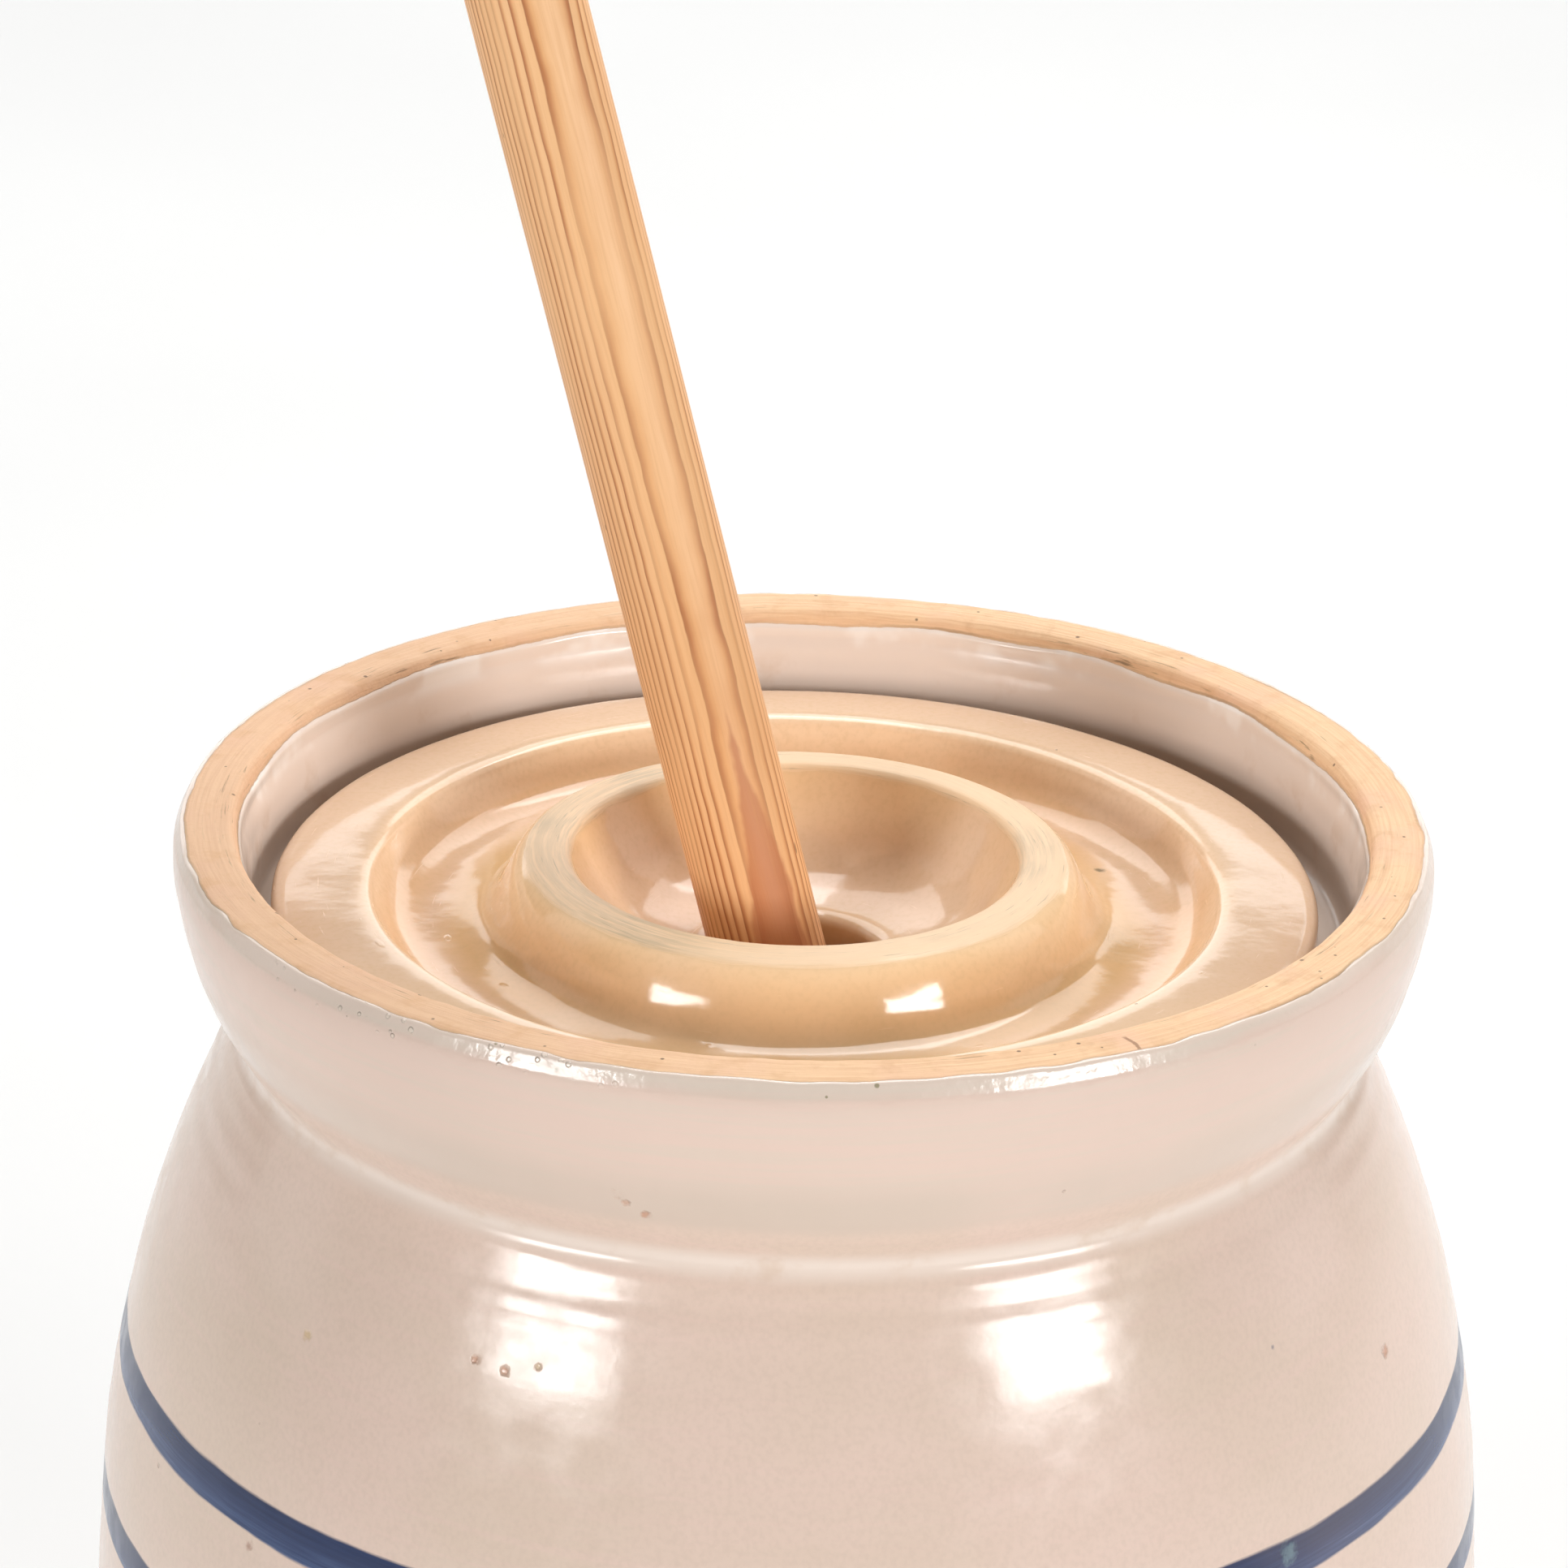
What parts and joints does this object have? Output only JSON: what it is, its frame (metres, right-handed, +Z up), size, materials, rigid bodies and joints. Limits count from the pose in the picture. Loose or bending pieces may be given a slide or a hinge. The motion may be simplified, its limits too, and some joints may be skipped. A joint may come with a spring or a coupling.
{
  "type": "stoneware dasher churn",
  "caption": "Glazed stoneware crock with a rolled collar and a ledge that carries a ringed lid, through whose guide hole leans a round wooden dasher handle.",
  "frame": {"origin": "centre of the crock's flat base, on the surface that it stands on", "axes": "+Z up along the crock's axis; the dasher's top leans towards -X and slightly towards +Y"},
  "size_m": [0.2736, 0.2736, 0.6983],
  "materials": {
    "stoneware_glaze": "gloss",
    "cane_glaze": "gloss",
    "pine": "satin",
    "dark_pine": "satin"
  },
  "bodies": {
    "crock": {"crock": "stoneware_glaze"},
    "lid": {"lid": "cane_glaze"},
    "dasher": {"dasher_handle": "pine", "cross_slat_lower": "pine", "cross_slat_upper": "pine", "handle_wedge": "dark_pine", "cross_peg_1": "dark_pine", "cross_peg_2": "dark_pine", "cross_peg_3": "dark_pine", "cross_peg_4": "dark_pine"}
  },
  "joints": [
    {"name": "dasher_plunge", "type": "slide", "parent": "crock", "child": "dasher", "axis": [-0.2556, 0.1033, 0.9613], "range_m": [0, 0.244]},
    {"name": "lid_lift", "type": "slide", "parent": "crock", "child": "lid", "axis": [-0.2556, 0.1033, 0.9613], "range_m": [0, 0.44]}
  ]
}
